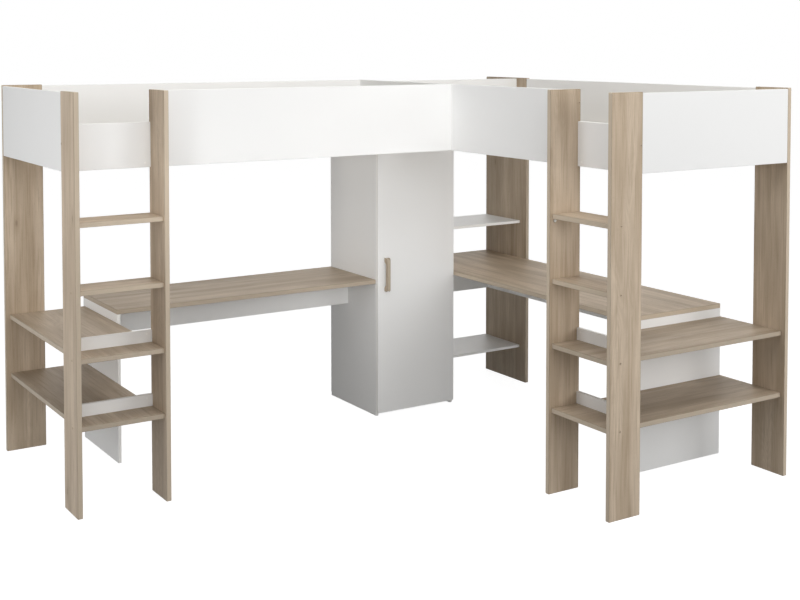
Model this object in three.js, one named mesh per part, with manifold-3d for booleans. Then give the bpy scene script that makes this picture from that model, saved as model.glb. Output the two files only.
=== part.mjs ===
// Corner set of two high sleeper beds: each bed has a ladder, step shelves and a desk, and they share
// one wardrobe. Millimetres, +Z up. Bed a runs along the wall, bed b runs out from it on the right.
import * as THREE from 'three';
import { mergeVertices } from 'three/addons/utils/BufferGeometryUtils.js';
import Module from 'manifold-3d';

const wasm = await Module();
wasm.setup();

// Boards
const WOOD = 22; // thickness of posts, steps and desk tops
const WHITE = 16; // thickness of rails, panels, white shelves and wardrobe boards
const BACKING = 3; // thickness of the wardrobe's back
const EASE = 1; // eased edge of a board
const CORNER = 2.5; // rounding of a board's corners, seen on its face

// Bed frames, the same for both beds
const BED_INNER_LENGTH = 2036;
const BED_INNER_WIDTH = 912;
const RAIL_TOP = 1827;
const RAIL_HEIGHT = 345;
const ENTRY_RAIL_HEIGHT = 204;
const BED_B_FROM_WALL = 305; // wall plane to the inner head end of bed b

// Posts
const POST_RISE = 5; // posts stand this much above the rails
const LADDER_POST_WIDTH = 176;
const BACK_POST_WIDTH = 196;
const CORNER_POST_WIDTH = 400;

// Ladders and their shelves
const LADDER_CLEAR = 382; // between the two posts of a ladder
const STEP_COUNT = 4;
const SHELF_STEP_COUNT = 2; // the lowest steps run on behind the ladder as shelves
const LOWEST_STEP_TOP = 394;
const TOP_STEP_DROP = 207.5; // rail underside to the highest step's top
const STEP_SETBACK = 15; // behind the posts' front edges
const LIP_HEIGHT = 56;

// Slatted bases
const SUPPORT_HEIGHT = 40;
const SUPPORT_WIDTH = 30;
const SLAT_COUNT = 14;
const SLAT_WIDTH = 75;
const SLAT_THICKNESS = 18;
const SLAT_END_GAP = 4; // slat end to rail
const SLAT_MARGIN = 24; // first slat to the end panel
const TAPE_WIDTH = 30;
const TAPE_THICKNESS = 1.5;
const TAPE_INSET = 140; // slat end to the middle of a tape
const TAPE_BITE = 0.5; // how far a stapled tape presses into the slats

// Desks
const DESK_TOP = 751;
const DESK_A_DEPTH = 497;
const DESK_B_GAP = 2; // wardrobe side to desk b, so that the door's edge swings free
const APRON_HEIGHT = 160;
const APRON_A_SETBACK = 305; // behind the front edge of desk a
const CORNER_APRON_FROM_WALL = 238; // wall plane to the corner apron's front face
const LONG_APRON_FROM_SIDE = 161; // back edge of desk b to the long apron's front face

// White shelves between the wardrobe and the corner post
const CORNER_SHELF_DEPTH = 342;
const LOW_SHELF_TOP = 221;
const HIGH_SHELF_RISE = 224; // above the desk tops

// Wardrobe
const WARDROBE_WIDTH = 505;
const WARDROBE_DEPTH = 498;
const WARDROBE_UNDER_A = 183; // how far the wardrobe reaches left of bed b's rail
const FLOOR_CLEAR = 20; // floor to the wardrobe's bottom board
const HAT_SPACE = 266; // rail underside to the inner shelf's top
const INNER_SHELF_SETBACK = 20;
const HANGING_RAIL_DROP = 60; // inner shelf's underside to the hanging rail's axis
const HANGING_RAIL_RADIUS = 12.5;
const SOCKET_RADIUS = 20;
const SOCKET_LENGTH = 10;
const SOCKET_RIM = 3;

// Door and handle
const DOOR_GAP = 2; // between door and carcass
const DOOR_REVEAL = 1.5; // door edge to the carcass's outer side
const DOOR_BOTTOM = 17.5;
const DOOR_TOP_GAP = 3;
const HANDLE_LENGTH = 180;
const HANDLE_WIDTH = 20;
const HANDLE_PROJECTION = 29;
const HANDLE_THICKNESS = 11;
const HANDLE_SLOPE = 30; // how much of each end slopes
const HANDLE_CORNER = 9; // start of the rounding at each bend
const HANDLE_EASE = 2.5;
const HANDLE_HEIGHT = 778; // floor to the handle's middle
const HANDLE_INSET = 51.5; // door's free edge to the handle's middle

// Concealed hinges
const HINGE_COUNT = 3;
const HINGE_INSET = 100; // door's top and bottom edges to the outer hinges
const CUP_RADIUS = 17.5;
const CUP_DEPTH = 11;
const CUP_FLOOR = 1.5;
const CUP_WALL = 3.5;
const CUP_EDGE = 5; // door edge to the cup's bore
const CUP_RIM = 1;
const CUP_RIM_WIDTH = 1.5;
const CUP_MOUTH = 20; // height of the cup's opening
const WING_SPAN = 62;
const WING_WIDTH = 16;
const ARM_STANDOFF = 6;
const ARM_THICKNESS = 10;
const ARM_WIDTH = 14;
const ARM_REACH = 62; // behind the door's back face
const ARM_WALL = 2;
const PLATE_SPAN = 50;
const PLATE_WIDTH = 18;
const PLATE_THICKNESS = 2.5;
const PLATE_SETBACK = 37; // carcass front to the plate's screws
const PLATE_SCREW_SPACING = 32;
const SCREW_HEAD_RADIUS = 4;
const SCREW_HEAD_HEIGHT = 1.5;
const FIT = 0.3; // clearance between pieces that are put together

// Planes that the pieces share. x runs along bed a, y towards the wall, z up from the floor.
const railBottom = RAIL_TOP - RAIL_HEIGHT;
const postTop = RAIL_TOP + POST_RISE;
const wall = WHITE + BED_INNER_WIDTH + WOOD;
const cornerX = WHITE + BED_INNER_LENGTH;
const rightX = cornerX + WHITE + BED_INNER_WIDTH;
const headY = wall - BED_B_FROM_WALL;
const frontY = headY - BED_INNER_LENGTH - WHITE;
const ladderPitch = WOOD + LADDER_CLEAR;
const deskUnder = DESK_TOP - WOOD;
const wardrobeLeft = cornerX - WARDROBE_UNDER_A;
const wardrobeRight = wardrobeLeft + WARDROBE_WIDTH;
const wardrobeFront = wall - WARDROBE_DEPTH;
const doorBack = wardrobeFront - DOOR_GAP;
const doorFront = doorBack - WHITE;
const doorHingeEdge = wardrobeRight - DOOR_REVEAL;

// A bed's own frame: u runs from its ladder end to its head, v from its ladder side to its far side.
const bedA = (u, v, z) => ({ x: u, y: v, z });
const bedB = (u, v, z) => ({ x: v.map((c) => cornerX + c), y: u.map((c) => frontY + c), z });
const deskBFront = wardrobeRight + DESK_B_GAP - cornerX;
const bedFar = WHITE + BED_INNER_WIDTH;
const bedHead = WHITE + BED_INNER_LENGTH;

const woodFinish = new THREE.MeshStandardMaterial({ color: '#a09180', roughness: 0.6, metalness: 0 });
const whiteFinish = new THREE.MeshStandardMaterial({ color: '#e9e8e6', roughness: 0.5, metalness: 0 });
const slatFinish = new THREE.MeshStandardMaterial({ color: '#d8bf98', roughness: 0.8, metalness: 0 });
const hingeFinish = new THREE.MeshStandardMaterial({ color: '#b4b7bb', roughness: 0.35, metalness: 1 });

const set = new THREE.Group();
set.position.set(-(rightX + WOOD) / 2, -(wall + frontY) / 2, 0);

function add(name, geometry, finish, position) {
  const mesh = new THREE.Mesh(geometry, finish.clone());
  mesh.name = name;
  mesh.position.copy(position);
  set.add(mesh);
}

// Places are kept to this part of a millimetre, which 32-bit numbers hold exactly, so that faces
// that touch share one plane.
const GRID = 1024;
const onGrid = (value) => Math.round(value * GRID) / GRID;

function rectangle(width, height, radius) {
  const x = width / 2 - radius;
  const y = height / 2 - radius;
  const outline = new THREE.Shape();
  outline.absarc(x, y, radius, 0, Math.PI / 2);
  outline.absarc(-x, y, radius, Math.PI / 2, Math.PI);
  outline.absarc(-x, -y, radius, Math.PI, Math.PI * 1.5);
  outline.absarc(x, -y, radius, Math.PI * 1.5, Math.PI * 2);
  return outline;
}

// A plate of the given outline, centred on z = 0, with its edges eased within its size.
function plate(outline, thickness, ease, segments = 1) {
  const geometry = new THREE.ExtrudeGeometry(outline, {
    depth: thickness - 2 * ease,
    bevelEnabled: ease > 0,
    bevelThickness: ease,
    bevelSize: ease,
    bevelOffset: -ease,
    bevelSegments: segments,
    curveSegments: segments,
  });
  return geometry.translate(0, 0, ease - thickness / 2);
}

// A board in its place: the shortest of its three sizes is its thickness.
function boardGeometry(size) {
  const thickness = Math.min(size.x, size.y, size.z);
  if (thickness === size.z) return plate(rectangle(size.x, size.y, CORNER), thickness, EASE);
  if (thickness === size.y) {
    return plate(rectangle(size.x, size.z, CORNER), thickness, EASE).rotateX(Math.PI / 2);
  }
  return plate(rectangle(size.z, size.y, CORNER), thickness, EASE).rotateY(Math.PI / 2);
}

function boxOf({ x, y, z }) {
  const [low, high] = [0, 1].map((end) => new THREE.Vector3(...[x, y, z].map((c) => onGrid(c[end]))));
  return new THREE.Box3(low, high);
}

function board(name, finish, place) {
  const box = boxOf(place);
  const size = box.getSize(new THREE.Vector3());
  add(name, boardGeometry(size), finish, box.getCenter(new THREE.Vector3()));
}

// Conversion to a solid that can be cut and joined, and back.
function solid(geometry) {
  const bare = geometry.clone();
  bare.deleteAttribute('normal');
  bare.deleteAttribute('uv');
  const merged = mergeVertices(bare);
  const vertProperties = merged.getAttribute('position').array;
  const triVerts = new Uint32Array(merged.index.array);
  return new wasm.Manifold(new wasm.Mesh({ numProp: 3, vertProperties, triVerts }));
}

function geometryOf(body) {
  const mesh = body.getMesh();
  const geometry = new THREE.BufferGeometry();
  geometry.setAttribute('position', new THREE.BufferAttribute(mesh.vertProperties, 3));
  geometry.setIndex(new THREE.BufferAttribute(mesh.triVerts, 1));
  geometry.computeVertexNormals();
  return geometry;
}

const block = (x, y, z) => {
  const geometry = new THREE.BoxGeometry(x[1] - x[0], y[1] - y[0], z[1] - z[0]);
  return geometry.translate((x[0] + x[1]) / 2, (y[0] + y[1]) / 2, (z[0] + z[1]) / 2);
};

// Bed frame boards, in the bed's own frame. Both beds have the same parts and differ in where the
// rails end at the shared corner.
function bedFrame(bed, at, { frontRailEnd, backRailEnd, headPanelStart }) {
  const full = [railBottom, RAIL_TOP];
  const entry = [railBottom, railBottom + ENTRY_RAIL_HEIGHT];
  const innerPost = [ladderPitch, ladderPitch + WOOD];
  const postDepth = [WHITE - LADDER_POST_WIDTH, WHITE];
  board(`${bed}_ladder_post_outer`, woodFinish, at([0, WOOD], postDepth, [0, postTop]));
  board(`${bed}_ladder_post_inner`, woodFinish, at(innerPost, postDepth, [0, postTop]));
  board(`${bed}_back_post`, woodFinish, at([0, BACK_POST_WIDTH], [bedFar, bedFar + WOOD], [0, postTop]));
  board(`${bed}_foot_panel`, whiteFinish, at([0, WHITE], [WHITE, bedFar], full));
  board(`${bed}_entry_rail`, whiteFinish, at([WOOD, ladderPitch], [0, WHITE], entry));
  board(`${bed}_front_rail`, whiteFinish, at([innerPost[1], frontRailEnd], [0, WHITE], full));
  board(`${bed}_back_rail`, whiteFinish, at([BACK_POST_WIDTH, backRailEnd], [bedFar, bedFar + WHITE], full));
  board(`${bed}_head_panel`, whiteFinish, at([bedHead, bedHead + WHITE], [headPanelStart, bedFar], full));
}

// The lowest steps are whole shelf boards as deep as the bed. The others are short treads.
function ladderSteps(bed, at) {
  const pitch = (railBottom - TOP_STEP_DROP - LOWEST_STEP_TOP) / (STEP_COUNT - 1);
  const front = WHITE - LADDER_POST_WIDTH + STEP_SETBACK;
  for (let step = 0; step < STEP_COUNT; step += 1) {
    const top = LOWEST_STEP_TOP + step * pitch;
    const isShelf = step < SHELF_STEP_COUNT;
    const back = isShelf ? bedFar : WHITE;
    const name = isShelf ? `${bed}_step_shelf_${step + 1}` : `${bed}_step_${step + 1}`;
    board(name, woodFinish, at([WOOD, ladderPitch], [front, back], [top - WOOD, top]));
    if (isShelf) {
      const lip = at([WOOD, ladderPitch], [0, WHITE], [top, top + LIP_HEIGHT]);
      board(`${bed}_shelf_lip_${step + 1}`, whiteFinish, lip);
    }
  }
}

// Slats lie across the bed on two long supports and are joined by two tapes stapled under them.
function slatDeckGeometry() {
  const slatLength = BED_INNER_WIDTH - 2 * SLAT_END_GAP;
  const firstSlat = SLAT_MARGIN + SLAT_WIDTH / 2;
  const pitch = (BED_INNER_LENGTH - 2 * firstSlat) / (SLAT_COUNT - 1);
  const slat = plate(rectangle(SLAT_WIDTH, slatLength, CORNER), SLAT_THICKNESS, EASE);
  slat.translate(0, 0, SLAT_THICKNESS / 2);
  const reach = BED_INNER_LENGTH / 2 - SLAT_MARGIN - EASE;
  const tapeMiddle = slatLength / 2 - TAPE_INSET;
  const tapes = [-tapeMiddle, tapeMiddle].map((middle) => solid(block(
    [-reach, reach],
    [middle - TAPE_WIDTH / 2, middle + TAPE_WIDTH / 2],
    [TAPE_BITE - TAPE_THICKNESS, TAPE_BITE],
  )));
  let deck = tapes[0].add(tapes[1]);
  for (let index = 0; index < SLAT_COUNT; index += 1) {
    const middle = firstSlat + index * pitch - BED_INNER_LENGTH / 2;
    deck = deck.add(solid(slat.clone().translate(middle, 0, 0)));
  }
  return geometryOf(deck);
}

function slattedBase(bed, at, turn) {
  const height = [railBottom, railBottom + SUPPORT_HEIGHT];
  const along = [WHITE, bedHead];
  const front = [WHITE, WHITE + SUPPORT_WIDTH];
  const back = [bedFar - SUPPORT_WIDTH, bedFar];
  board(`${bed}_slat_support_front`, slatFinish, at(along, front, height));
  board(`${bed}_slat_support_back`, slatFinish, at(along, back, height));
  const level = [height[1], height[1]];
  const middle = boxOf(at(along, [WHITE, bedFar], level)).getCenter(new THREE.Vector3());
  add(`${bed}_slat_deck`, slatDeckGeometry().rotateZ(turn), slatFinish, middle);
}

// Desk top and the side panel that carries it and the shelf steps' inner ends.
function desk(bed, at, depth, end) {
  board(`${bed}_desk_top`, woodFinish, at([ladderPitch, end], depth, [deskUnder, DESK_TOP]));
  board(`${bed}_desk_side`, whiteFinish, at([ladderPitch, ladderPitch + WHITE], depth, [0, deskUnder]));
}

function aprons() {
  const height = [deskUnder - APRON_HEIGHT, deskUnder];
  const apronA = wall - DESK_A_DEPTH + APRON_A_SETBACK;
  const cornerApron = wall - CORNER_APRON_FROM_WALL;
  const longApron = rightX - LONG_APRON_FROM_SIDE;
  const deskSideB = frontY + ladderPitch + WHITE;
  board('a_desk_apron', whiteFinish, {
    x: [ladderPitch + WHITE, wardrobeLeft],
    y: [apronA, apronA + WHITE],
    z: height,
  });
  board('b_corner_apron', whiteFinish, {
    x: [wardrobeRight, rightX],
    y: [cornerApron, cornerApron + WHITE],
    z: height,
  });
  board('b_long_apron', whiteFinish, {
    x: [longApron, longApron + WHITE],
    y: [deskSideB, cornerApron],
    z: height,
  });
}

// The wide post at the back corner and the two white shelves between it and the wardrobe.
function cornerShelves() {
  const post = { x: [rightX, rightX + WOOD], y: [wall - CORNER_POST_WIDTH, wall], z: [0, postTop] };
  board('corner_post', woodFinish, post);
  const shelfTops = { corner_shelf_low: LOW_SHELF_TOP, corner_shelf_high: DESK_TOP + HIGH_SHELF_RISE };
  for (const [name, top] of Object.entries(shelfTops)) {
    board(name, whiteFinish, {
      x: [wardrobeRight, rightX],
      y: [wall - CORNER_SHELF_DEPTH, wall],
      z: [top - WHITE, top],
    });
  }
}

// A rod with a socket at each end, turned about x.
function hangingRailGeometry(length) {
  const half = length / 2;
  const outline = [
    [0, -half],
    [SOCKET_RADIUS, -half],
    [SOCKET_RADIUS, SOCKET_RIM - half],
    [HANGING_RAIL_RADIUS + SOCKET_RIM, SOCKET_RIM - half],
    [HANGING_RAIL_RADIUS + SOCKET_RIM, SOCKET_LENGTH - half],
    [HANGING_RAIL_RADIUS, SOCKET_LENGTH - half],
  ];
  const otherEnd = outline.map(([radius, height]) => [radius, -height]).reverse();
  const points = [...outline, ...otherEnd].map(([radius, height]) => new THREE.Vector2(radius, height));
  return new THREE.LatheGeometry(points, 24).rotateZ(-Math.PI / 2);
}

function wardrobe() {
  const left = [wardrobeLeft, wardrobeLeft + WHITE];
  const right = [wardrobeRight - WHITE, wardrobeRight];
  const between = [left[1], right[0]];
  const depth = [wardrobeFront, wall - BACKING];
  const shelfTop = railBottom - HAT_SPACE;
  board('wardrobe_side_left', whiteFinish, { x: left, y: depth, z: [0, railBottom] });
  board('wardrobe_side_right', whiteFinish, { x: right, y: depth, z: [0, railBottom] });
  board('wardrobe_bottom', whiteFinish, { x: between, y: depth, z: [FLOOR_CLEAR, FLOOR_CLEAR + WHITE] });
  board('wardrobe_top', whiteFinish, { x: between, y: depth, z: [railBottom - WHITE, railBottom] });
  board('wardrobe_shelf', whiteFinish, {
    x: between,
    y: [wardrobeFront + INNER_SHELF_SETBACK, depth[1]],
    z: [shelfTop - WHITE, shelfTop],
  });
  const back = boxOf({ x: [left[0], right[1]], y: [depth[1], wall], z: [FLOOR_CLEAR, railBottom] });
  const backSize = back.getSize(new THREE.Vector3());
  const backGeometry = plate(rectangle(backSize.x, backSize.z, CORNER), BACKING, 0).rotateX(Math.PI / 2);
  add('wardrobe_back', backGeometry, whiteFinish, back.getCenter(new THREE.Vector3()));
  const railCentre = new THREE.Vector3(
    (between[0] + between[1]) / 2,
    (depth[0] + depth[1]) / 2,
    shelfTop - WHITE - HANGING_RAIL_DROP,
  );
  add('hanging_rail', hangingRailGeometry(between[1] - between[0] - 2 * FIT), hingeFinish, railCentre);
}

function hingeHeights() {
  const low = DOOR_BOTTOM + HINGE_INSET;
  const high = railBottom - DOOR_TOP_GAP - HINGE_INSET;
  return Array.from({ length: HINGE_COUNT }, (_, index) => low + (index * (high - low)) / (HINGE_COUNT - 1));
}

// The hinge pieces share a frame: the origin is on the door's back face at its hinge edge, y points
// into the wardrobe.
const cupCentre = -(CUP_EDGE + CUP_RADIUS);

function disc(radius, y, segments) {
  const cylinder = new THREE.CylinderGeometry(radius, radius, y[1] - y[0], segments);
  return cylinder.translate(cupCentre, (y[0] + y[1]) / 2, 0);
}

function cupGeometry() {
  const inner = CUP_RADIUS - CUP_WALL;
  const wings = plate(rectangle(WING_WIDTH, WING_SPAN, WING_WIDTH / 4), CUP_RIM, 0, 2);
  wings.rotateX(Math.PI / 2).translate(cupCentre, CUP_RIM / 2, 0);
  const mouth = block(
    [cupCentre - inner, cupCentre + inner],
    [CUP_FLOOR - CUP_DEPTH, 2 * CUP_RIM],
    [-CUP_MOUTH / 2, CUP_MOUTH / 2],
  );
  const boss = solid(disc(CUP_RADIUS, [-CUP_DEPTH, CUP_RIM], 32));
  const rim = solid(disc(CUP_RADIUS + CUP_RIM_WIDTH, [0, CUP_RIM], 32));
  return geometryOf(boss.add(rim).add(solid(wings)).subtract(solid(mouth)));
}

// The arm's nose lies in the cup when the door is shut, and its tail clips over the side's plate.
function armGeometry() {
  const sideFace = DOOR_REVEAL - WHITE;
  const foot = sideFace - ARM_STANDOFF;
  const crest = foot - ARM_THICKNESS;
  const nose = CUP_FLOOR - CUP_DEPTH + FIT;
  const profile = new THREE.Shape();
  profile.moveTo(foot, nose);
  profile.lineTo(foot, ARM_REACH);
  profile.quadraticCurveTo(crest, ARM_REACH, crest, ARM_REACH - 2 * ARM_THICKNESS);
  profile.lineTo(crest, ARM_THICKNESS);
  profile.lineTo(crest + ARM_WALL, nose + ARM_WALL);
  profile.quadraticCurveTo(crest + ARM_WALL, nose, crest + 2 * ARM_WALL, nose);
  profile.closePath();
  const channelHalf = ARM_WIDTH / 2 - ARM_WALL;
  const channel = block(
    [crest + ARM_WALL, foot + ARM_WALL],
    [ARM_THICKNESS, ARM_REACH + ARM_WALL],
    [-channelHalf, channelHalf],
  );
  const screws = DOOR_GAP + PLATE_SETBACK;
  const wings = block(
    [sideFace - PLATE_THICKNESS, sideFace],
    [screws - PLATE_WIDTH / 2, screws + PLATE_WIDTH / 2],
    [-PLATE_SPAN / 2, PLATE_SPAN / 2],
  );
  const ridge = block(
    [crest + ARM_WALL - FIT, sideFace],
    [screws - PLATE_WIDTH, screws + PLATE_WIDTH],
    [-channelHalf - FIT, channelHalf + FIT],
  );
  let arm = solid(plate(profile, ARM_WIDTH, EASE)).subtract(solid(channel)).add(solid(ridge));
  arm = arm.add(solid(wings));
  for (const z of [-PLATE_SCREW_SPACING / 2, PLATE_SCREW_SPACING / 2]) {
    const head = new THREE.CylinderGeometry(SCREW_HEAD_RADIUS, SCREW_HEAD_RADIUS, 2 * SCREW_HEAD_HEIGHT, 12);
    head.rotateZ(Math.PI / 2).translate(sideFace - PLATE_THICKNESS, screws, z);
    arm = arm.add(solid(head));
  }
  return geometryOf(arm);
}

// A bridge handle: a bar whose two ends slope back to the door, drawn with u up the door and v out.
function handleGeometry() {
  const half = HANDLE_LENGTH / 2;
  const slope = Math.atan2(HANDLE_PROJECTION, HANDLE_SLOPE);
  const foot = HANDLE_THICKNESS / Math.sin(slope);
  const innerRise = HANDLE_PROJECTION - HANDLE_THICKNESS;
  const innerRun = innerRise / Math.tan(slope);
  const side = (end) => ({
    toe: [end * half, 0],
    shoulder: [end * (half - HANDLE_SLOPE), HANDLE_PROJECTION],
    armpit: [end * (half - foot - innerRun), innerRise],
    heel: [end * (half - foot), 0],
  });
  const [low, high] = [side(-1), side(1)];
  const corners = [low.toe, low.shoulder, high.shoulder, high.toe, high.heel, high.armpit, low.armpit, low.heel];
  const bends = [low.shoulder, high.shoulder, high.armpit, low.armpit];
  const outline = new THREE.Shape();
  corners.forEach((corner, index) => {
    const here = new THREE.Vector2(...corner);
    if (!bends.includes(corner)) {
      if (index === 0) outline.moveTo(here.x, here.y);
      else outline.lineTo(here.x, here.y);
      return;
    }
    const before = new THREE.Vector2(...corners[index - 1]);
    const after = new THREE.Vector2(...corners[index + 1]);
    const start = here.clone().add(before.sub(here).setLength(HANDLE_CORNER));
    const end = here.clone().add(after.sub(here).setLength(HANDLE_CORNER));
    outline.lineTo(start.x, start.y);
    outline.quadraticCurveTo(here.x, here.y, end.x, end.y);
  });
  outline.closePath();
  const bridge = plate(outline, HANDLE_WIDTH, HANDLE_EASE, 2);
  return bridge.applyMatrix4(new THREE.Matrix4().makeBasis(
    new THREE.Vector3(0, 0, 1),
    new THREE.Vector3(0, -1, 0),
    new THREE.Vector3(1, 0, 0),
  ));
}

function door() {
  const box = boxOf({
    x: [wardrobeLeft + DOOR_REVEAL, doorHingeEdge],
    y: [doorFront, doorBack],
    z: [DOOR_BOTTOM, railBottom - DOOR_TOP_GAP],
  });
  const centre = box.getCenter(new THREE.Vector3());
  let panel = solid(boardGeometry(box.getSize(new THREE.Vector3())));
  hingeHeights().forEach((height, index) => {
    const bore = disc(CUP_RADIUS + FIT, [-CUP_DEPTH - FIT, DOOR_GAP], 32);
    bore.translate(doorHingeEdge - centre.x, doorBack - centre.y, height - centre.z);
    panel = panel.subtract(solid(bore));
    const hinge = new THREE.Vector3(doorHingeEdge, doorBack, height);
    add(`hinge_cup_${index + 1}`, cupGeometry(), hingeFinish, hinge);
    add(`hinge_arm_${index + 1}`, armGeometry(), hingeFinish, hinge);
  });
  add('wardrobe_door', geometryOf(panel), whiteFinish, centre);
  const grip = new THREE.Vector3(box.min.x + HANDLE_INSET, doorFront, HANDLE_HEIGHT);
  add('door_handle', handleGeometry(), woodFinish, grip);
}

// Bed a ends at bed b's rail, and its back rail closes the corner behind it.
bedFrame('a', bedA, {
  frontRailEnd: cornerX,
  backRailEnd: cornerX + WHITE,
  headPanelStart: headY + WHITE,
});
bedFrame('b', bedB, {
  frontRailEnd: bedHead + WHITE,
  backRailEnd: wall - CORNER_POST_WIDTH - frontY,
  headPanelStart: WHITE,
});
ladderSteps('a', bedA);
ladderSteps('b', bedB);
slattedBase('a', bedA, 0);
slattedBase('b', bedB, Math.PI / 2);
desk('a', bedA, [wall - DESK_A_DEPTH, wall], wardrobeLeft);
desk('b', bedB, [deskBFront, bedFar], wall - frontY);
aprons();
cornerShelves();
wardrobe();
door();

export default set;
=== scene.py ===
"""Looks of a corner set of two high sleeper beds with desks, step shelves and a wardrobe.

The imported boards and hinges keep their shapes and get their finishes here. The slatted bases and
the door handle are made anew in finer detail, and caps, screws, nails, pins and bumpers are added.
Metres, +Z up. Bed a runs along the wall, bed b comes out from it on the right.
"""

import math

import bmesh
import bpy
import numpy as np
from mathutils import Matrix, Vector


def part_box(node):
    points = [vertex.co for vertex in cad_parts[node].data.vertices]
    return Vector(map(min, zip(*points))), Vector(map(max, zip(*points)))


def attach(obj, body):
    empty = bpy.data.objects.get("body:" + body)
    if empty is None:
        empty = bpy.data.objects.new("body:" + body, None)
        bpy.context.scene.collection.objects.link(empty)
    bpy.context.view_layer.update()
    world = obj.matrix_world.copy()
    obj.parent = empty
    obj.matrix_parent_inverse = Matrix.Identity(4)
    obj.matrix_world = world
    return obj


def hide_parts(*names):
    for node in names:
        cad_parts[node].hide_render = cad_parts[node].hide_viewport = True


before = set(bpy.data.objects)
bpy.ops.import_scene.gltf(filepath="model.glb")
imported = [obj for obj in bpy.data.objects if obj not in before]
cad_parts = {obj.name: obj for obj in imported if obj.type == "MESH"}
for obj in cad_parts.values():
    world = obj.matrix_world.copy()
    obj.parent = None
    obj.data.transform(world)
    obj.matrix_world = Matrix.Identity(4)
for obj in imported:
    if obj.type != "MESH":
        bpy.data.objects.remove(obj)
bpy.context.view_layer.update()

MM = 0.001
X, Y, Z = range(3)

# Tones, written as 0 to 255 screen values
OAK_LIGHT = (205, 188, 167)
OAK_DARK = (184, 166, 144)
OAK_BROWN = (152, 132, 108)
OAK_PORE = (122, 103, 86)
OAK_KNOT = (112, 93, 77)
OAK_EDGE = (197, 182, 162)
WHITE_FACE = (241, 241, 240)
WHITE_EDGE = (247, 246, 243)
PINE_LIGHT = (216, 205, 186)
PINE_DARK = (203, 187, 162)
PINE_KNOT = (158, 130, 100)
NICKEL = (200, 201, 203)
ZINC = (178, 180, 184)
TAPE_THREAD = (214, 209, 198)
CAP_BROWN = (186, 168, 146)
# Painted shade at the floor of the caps' sockets and round the step cap
CAP_SOCKET_SHADE = (112, 95, 78)
CAP_WHITE = (250, 250, 248)
RUBBER = (226, 226, 222)
# Painted shade inside the shelf holes
HOLE_SHADE = (86, 80, 74)

# Oak patterns: patches per metre along the grain and across it, the noise's detail, and the order
# in which the board's random shift is read, 1 forwards and -1 backwards
OAK_PATTERNS = {
    "bands": (1.1, 17, 2, 1),
    "cloud": (3.2, 11, 2, -1),
    "flames": (1.1, 6.5, 2, -1),
    "flame_zones": (0.5, 9, 1, 1),
    "fibre": (7, 480, 3, 1),
    "streaks": (4, 130, 2, -1),
    "pores": (38, 1300, 1, 1),
}
OAK_FLAME_LINES = 190
OAK_KNOTS_ALONG, OAK_KNOTS_ACROSS = 1.7, 5.2
# Reach of the oak's dark border line on the face and on the edge: the seam, and painted shade of
# the rounded edge
OAK_SEAM_SHADE = (0.8 * MM, 4 * MM)
OAK_ARRIS_SHADE = (0.8 * MM, 3 * MM)
WHITE_SEAM = (0.3 * MM, 1.2 * MM)
PINE_GROWTH_LINES = 150
PATTERN_ROOM = 40  # the random shifts go up to this

# A surface turns from one side of a board to the next while its normal's part goes through these
SIDE_TURN = (0.5, 0.8)

# Shelf holes inside the wardrobe's sides
HOLE_PITCH = 32 * MM
HOLE_ROW_INSET = 37 * MM
FIRST_HOLE = 150 * MM
LAST_HOLE = FIRST_HOLE + 32 * HOLE_PITCH
# Each hole is painted dark, as its shade, out to HOLE_RIM
HOLE_RIM = (2.2 * MM, 2.6 * MM)  # a hole's dark ends between these distances from its middle

# Threads of the webbing
WARP_PITCH = 2.4 * MM
WEFT_PITCH = 1.8 * MM


def tone(colour):
    """The linear colour of a screen colour c from 0 to 1: c / 12.92 up to 0.04045, and above that
    ((c + 0.055) / 1.055) to the power 2.4."""
    c = np.array(colour) / 255
    linear = np.where(c <= 0.04045, c / 12.92, ((c + 0.055) / 1.055) ** 2.4)
    return (*linear.tolist(), 1)


class Term:
    """A shader value that takes part in Python expressions: each operator adds one Math node."""

    def __init__(self, nodes, socket):
        self.nodes = nodes
        self.socket = socket

    def _math(self, operation, *terms):
        return self.nodes.node("Math", {"operation": operation}, dict(enumerate(terms)))

    def __add__(self, other):
        return self._math("ADD", self, other)

    def __sub__(self, other):
        return self._math("SUBTRACT", self, other)

    def __rsub__(self, other):
        return self._math("SUBTRACT", other, self)

    def __mul__(self, other):
        return self._math("MULTIPLY", self, other)

    def __truediv__(self, other):
        return self._math("DIVIDE", self, other)

    def __abs__(self):
        return self._math("ABSOLUTE", self)

    __radd__, __rmul__ = __add__, __mul__

    def rounded(self):
        return self._math("ROUND", self)

    def root(self):
        return self._math("SQRT", self)

    def wave(self):
        return self._math("SINE", self)

    def smaller(self, other):
        return self._math("MINIMUM", self, other)

    def larger(self, other):
        return self._math("MAXIMUM", self, other)

    def rise(self, low, high):
        """0 below low, 1 above high, a smooth step between."""
        settings = {"interpolation_type": "SMOOTHSTEP"}
        limits = {"Value": self, "From Min": low, "From Max": high}
        return self.nodes.node("MapRange", settings, limits)


class Nodes:
    """A node tree being written. node() adds any node and gives its result as a Term."""

    def __init__(self, tree):
        self.tree = tree

    def node(self, kind, settings=(), inputs=(), output=0):
        node = self.tree.nodes.new("ShaderNode" + kind)
        for name, value in dict(settings).items():
            setattr(node, name, value)
        for name, value in dict(inputs).items():
            self.feed(node.inputs[name], value)
        return Term(self, node.outputs[output])

    def feed(self, socket, value):
        """Links a Term to a socket, or sets the socket's own value."""
        if isinstance(value, Term):
            self.tree.links.new(value.socket, socket)
        else:
            socket.default_value = value

    def split(self, vector):
        """The three parts of a vector or a colour."""
        first = self.node("SeparateXYZ", inputs={"Vector": vector})
        return [Term(self, socket) for socket in first.socket.node.outputs]

    def backdrop_seen(self):
        """1 for rays from the camera, off gloss and through glass, which see the white backdrop."""
        path = self.node("LightPath").socket.node
        kinds = ("Is Camera Ray", "Is Glossy Ray", "Is Transmission Ray")
        camera, gloss, glass = (Term(self, path.outputs[kind]) for kind in kinds)
        return camera.larger(gloss).larger(glass)


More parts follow.
